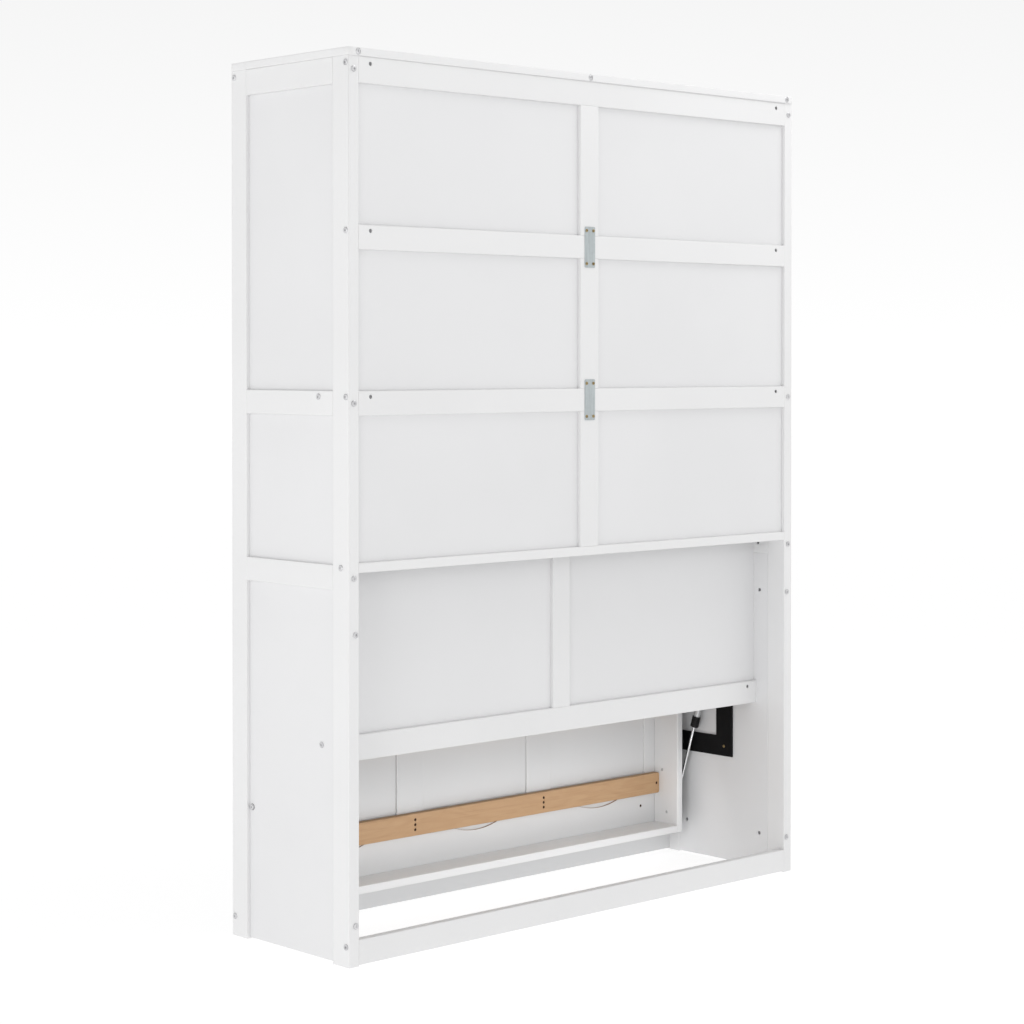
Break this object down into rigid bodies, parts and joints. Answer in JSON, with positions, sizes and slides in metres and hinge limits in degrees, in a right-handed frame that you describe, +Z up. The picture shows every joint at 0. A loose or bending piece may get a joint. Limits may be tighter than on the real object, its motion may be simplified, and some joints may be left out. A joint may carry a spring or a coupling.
{
  "type": "wall bed",
  "caption": "White painted wall bed in a framed cabinet: a slatted bed with a panelled face folds down on pivots, held by gas struts, with fold-out legs.",
  "frame": {"origin": "on the floor, under the middle of the cabinet", "axes": "+X to the right seen from the room, +Y towards the wall, +Z up; the bed folds down towards -Y"},
  "size_m": [1.584, 0.463, 2.144],
  "materials": {
    "white_paint": "satin white paint",
    "pine": "raw planed pine",
    "zinc": "zinc plated",
    "brass": "brass passivated",
    "bolt_steel": "nickel plated",
    "dark_steel": "black oxide",
    "black_steel": "black powder coat",
    "bush_plastic": "black nylon",
    "pad_rubber": "moulded",
    "strut_silver": "silver lacquer",
    "rod_chrome": "ground and plated"
  },
  "bodies": {
    "cabinet": {"top_rear_rail": "white_paint", "top_front_rail": "white_paint", "top_cross_rails": "white_paint", "top_panels": "white_paint", "front_stile_right": "white_paint", "front_stile_left": "white_paint", "rear_post_right": "white_paint", "rear_post_left": "white_paint", "side_top_rail_right": "white_paint", "side_top_rail_left": "white_paint", "side_middle_rail_right": "white_paint", "side_middle_rail_left": "white_paint", "side_lower_rail_right": "white_paint", "side_lower_rail_left": "white_paint", "side_upper_panel_right": "white_paint", "side_upper_panel_left": "white_paint", "side_middle_panel_right": "white_paint", "side_middle_panel_left": "white_paint", "side_lower_panel_right": "white_paint", "side_lower_panel_left": "white_paint", "back_top_rail": "white_paint", "back_middle_rails": "white_paint", "back_batten": "white_paint", "back_centre_stiles": "white_paint", "back_panels": "white_paint", "joining_plates": "zinc", "cabinet_screws": "brass", "headboard_rails": "white_paint", "headboard_centre_stile": "white_paint", "headboard_panels": "white_paint", "rear_foot_rail": "white_paint", "front_plinth": "white_paint", "front_top_rail": "white_paint", "connector_bolts": "bolt_steel", "barrel_nuts": "bolt_steel", "wall_bracket_right": "black_steel", "wall_bracket_left": "black_steel", "strut_studs": "bolt_steel", "pivot_bushes": "bush_plastic"},
    "bed": {"bed_side_rail_right": "white_paint", "bed_side_rail_left": "white_paint", "bed_head_rail": "white_paint", "bed_foot_rail": "white_paint", "face_stiles": "white_paint", "face_bottom_board": "white_paint", "face_rails": "white_paint", "face_panels": "white_paint", "bed_slats": "pine", "bed_screws": "dark_steel", "bed_pivot_plates": "black_steel", "pivot_pins": "bolt_steel", "leg_hinges": "black_steel"},
    "leg_right": {"leg_right": "black_steel", "leg_pad_right": "pad_rubber"},
    "strut_cylinder_right": {"strut_cylinder_right": "strut_silver"},
    "strut_rod_right": {"strut_rod_right": "rod_chrome"},
    "leg_left": {"leg_left": "black_steel", "leg_pad_left": "pad_rubber"},
    "strut_cylinder_left": {"strut_cylinder_left": "strut_silver"},
    "strut_rod_left": {"strut_rod_left": "rod_chrome"}
  },
  "joints": [
    {"name": "bed_fold", "type": "hinge", "parent": "cabinet", "child": "bed", "pos_m": [0, -0.1575, 0.324], "axis": [1, 0, 0], "range_deg": [0, 90], "stiffness_Nm_per_rad": 105, "springref_deg": -49.85},
    {"name": "strut_swing_right", "type": "hinge", "parent": "cabinet", "child": "strut_cylinder_right", "pos_m": [0.735, -0.0005, 0.641], "axis": [1, 0, 0], "range_deg": [0, 18.49]},
    {"name": "strut_stroke_right", "type": "slide", "parent": "strut_cylinder_right", "child": "strut_rod_right", "axis": [0, -0.3072, -0.9516], "range_m": [-0.18743, 0]},
    {"name": "leg_fold_right", "type": "hinge", "parent": "bed", "child": "leg_right", "pos_m": [0.6, -0.2215, 1.981], "axis": [-1, 0, 0], "range_deg": [0, 90]},
    {"name": "strut_swing_left", "type": "hinge", "parent": "cabinet", "child": "strut_cylinder_left", "pos_m": [-0.735, -0.0005, 0.641], "axis": [1, 0, 0], "range_deg": [0, 18.49]},
    {"name": "strut_stroke_left", "type": "slide", "parent": "strut_cylinder_left", "child": "strut_rod_left", "axis": [0, -0.3072, -0.9516], "range_m": [-0.18743, 0]},
    {"name": "leg_fold_left", "type": "hinge", "parent": "bed", "child": "leg_left", "pos_m": [-0.6, -0.2215, 1.981], "axis": [-1, 0, 0], "range_deg": [0, 90]}
  ],
  "couplings": [
    {"joint": "strut_swing_right", "follows": "bed_fold", "ratio": 0.20489},
    {"joint": "strut_stroke_right", "follows": "bed_fold", "m_per_rad": -0.11919},
    {"joint": "strut_swing_left", "follows": "bed_fold", "ratio": 0.20489},
    {"joint": "strut_stroke_left", "follows": "bed_fold", "m_per_rad": -0.11919}
  ]
}
